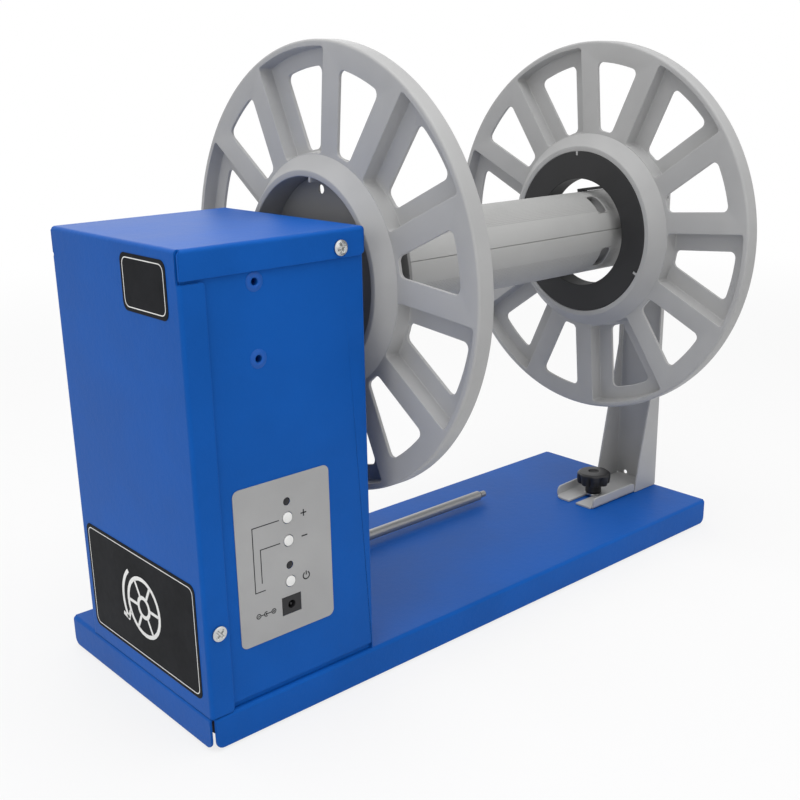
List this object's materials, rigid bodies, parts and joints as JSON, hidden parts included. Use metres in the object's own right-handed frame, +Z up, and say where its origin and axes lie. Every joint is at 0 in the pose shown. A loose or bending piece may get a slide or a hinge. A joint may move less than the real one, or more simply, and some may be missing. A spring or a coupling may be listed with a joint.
{
  "type": "label rewinder",
  "caption": "Motor driven label rewinder with a spoked reel on a core chuck, a swinging dancer rod and a clamped upright on a flat base.",
  "frame": {"origin": "on the floor, under the middle of the base and under the reel axis", "axes": "+X along the reel axis from the motor housing to the upright, +Y to the back, +Z up"},
  "size_m": [0.606, 0.35, 0.4838],
  "materials": {
    "blue_coat": "fine textured powder coat",
    "black_rubber": "matte",
    "zinc": "bright zinc plate",
    "bracket_steel": "plain steel",
    "cast_alloy": "satin",
    "shaft_steel": "ground and polished",
    "red_rubber": "matte",
    "flange_grey": "fine moulded texture",
    "tube_grey": "fine ribs",
    "grip_grey": "matte",
    "black_plastic": "satin",
    "black_coat": "satin black",
    "pale_coat": "light grey powder coat",
    "bronze": "sintered",
    "sensor_green": "plain",
    "panel_grey": "printed film",
    "board_green": "solder mask",
    "button_white": "smooth",
    "lens_dark": "smoked lens",
    "label_black": "satin film"
  },
  "bodies": {
    "frame": {"base_plate": "blue_coat", "rubber_feet": "black_rubber", "chassis": "blue_coat", "cover": "blue_coat", "cover_screws": "zinc", "bracket_rivets": "blue_coat", "motor_bracket": "bracket_steel", "motor_screws": "zinc", "motor": "bracket_steel", "gearbox": "cast_alloy", "bearing_block": "cast_alloy", "block_screws": "zinc", "shaft_bearings": "shaft_steel", "base_nut": "zinc", "chassis_screws": "zinc", "arm_bushing": "bronze", "arm_stop": "black_rubber", "angle_sensor": "sensor_green", "control_panel": "panel_grey", "circuit_board": "board_green", "board_spacers": "zinc", "key_switches": "black_plastic", "led_lenses": "lens_dark", "dc_inlet": "black_plastic", "label_upper": "label_black", "label_lower": "label_black"},
    "reel": {"gearbox_shaft": "shaft_steel", "coupling_motor_half": "cast_alloy", "coupling_spider": "red_rubber", "coupling_shaft_half": "cast_alloy", "drive_shaft": "shaft_steel", "hub_plate": "cast_alloy", "hub_screws": "zinc", "inner_flange": "flange_grey", "chuck_core": "tube_grey", "shell_upper": "tube_grey", "shell_lower": "tube_grey", "retaining_rings": "zinc", "end_plug": "tube_grey"},
    "outer_flange_set": {"outer_flange": "flange_grey", "adapter_ring": "black_plastic", "carrier_bar": "black_coat", "carrier_screws": "zinc"},
    "lock": {"lock_cam": "black_plastic"},
    "grip_1": {"grip_1": "grip_grey"},
    "grip_2": {"grip_2": "grip_grey"},
    "grip_3": {"grip_3": "grip_grey"},
    "grip_4": {"grip_4": "grip_grey"},
    "dancer": {"pivot_shaft": "shaft_steel", "dancer_arm": "bracket_steel", "dancer_rod": "shaft_steel"},
    "upright": {"upright": "pale_coat", "upright_bushing": "black_plastic"},
    "washer": {"clamp_washer": "zinc"},
    "knob": {"clamp_knob": "black_plastic"},
    "button_1": {"button_1": "button_white"},
    "button_2": {"button_2": "button_white"},
    "button_3": {"button_3": "button_white"}
  },
  "joints": [
    {"name": "reel_turn", "type": "hinge", "parent": "frame", "child": "reel", "pos_m": [0, 0, 0.3088], "axis": [1, 0, 0], "continuous": true},
    {"name": "outer_flange_pull", "type": "slide", "parent": "reel", "child": "outer_flange_set", "axis": [1, 0, 0], "range_m": [0, 0.06]},
    {"name": "lock_turn", "type": "hinge", "parent": "reel", "child": "lock", "pos_m": [0, 0, 0.3088], "axis": [-1, 0, 0], "range_deg": [0, 30]},
    {"name": "grip_1_spread", "type": "slide", "parent": "reel", "child": "grip_1", "axis": [0, -0.6293, 0.7771], "range_m": [0, 0.0015]},
    {"name": "grip_2_spread", "type": "slide", "parent": "reel", "child": "grip_2", "axis": [0, 0.8387, 0.5446], "range_m": [0, 0.0015]},
    {"name": "grip_3_spread", "type": "slide", "parent": "reel", "child": "grip_3", "axis": [0, 0.6293, -0.7771], "range_m": [0, 0.0015]},
    {"name": "grip_4_spread", "type": "slide", "parent": "reel", "child": "grip_4", "axis": [0, -0.8387, -0.5446], "range_m": [0, 0.0015]},
    {"name": "dancer_swing", "type": "hinge", "parent": "frame", "child": "dancer", "pos_m": [0, -0.025, 0.077], "axis": [1, 0, 0], "range_deg": [0, 50]},
    {"name": "upright_slide", "type": "slide", "parent": "frame", "child": "upright", "axis": [1, 0, 0], "range_m": [0, 0.04]},
    {"name": "clamp_lift", "type": "slide", "parent": "frame", "child": "washer", "axis": [0, 0, 1], "range_m": [0, 0.002]},
    {"name": "clamp_turn", "type": "hinge", "parent": "washer", "child": "knob", "pos_m": [0.228, 0, 0.037], "axis": [0, 0, 1], "range_deg": [0, 720]},
    {"name": "button_1_press", "type": "slide", "parent": "frame", "child": "button_1", "axis": [0, 1, 0], "range_m": [0, 0.0008], "stiffness_N_per_m": 400, "springref_m": -0.001},
    {"name": "button_2_press", "type": "slide", "parent": "frame", "child": "button_2", "axis": [0, 1, 0], "range_m": [0, 0.0008], "stiffness_N_per_m": 400, "springref_m": -0.001},
    {"name": "button_3_press", "type": "slide", "parent": "frame", "child": "button_3", "axis": [0, 1, 0], "range_m": [0, 0.0008], "stiffness_N_per_m": 400, "springref_m": -0.001}
  ],
  "couplings": [
    {"joint": "grip_1_spread", "follows": "lock_turn", "m_per_rad": 0.0028648},
    {"joint": "grip_2_spread", "follows": "lock_turn", "m_per_rad": 0.0028648},
    {"joint": "grip_3_spread", "follows": "lock_turn", "m_per_rad": 0.0028648},
    {"joint": "grip_4_spread", "follows": "lock_turn", "m_per_rad": 0.0028648},
    {"joint": "clamp_lift", "follows": "clamp_turn", "m_per_rad": 0.00015915}
  ]
}
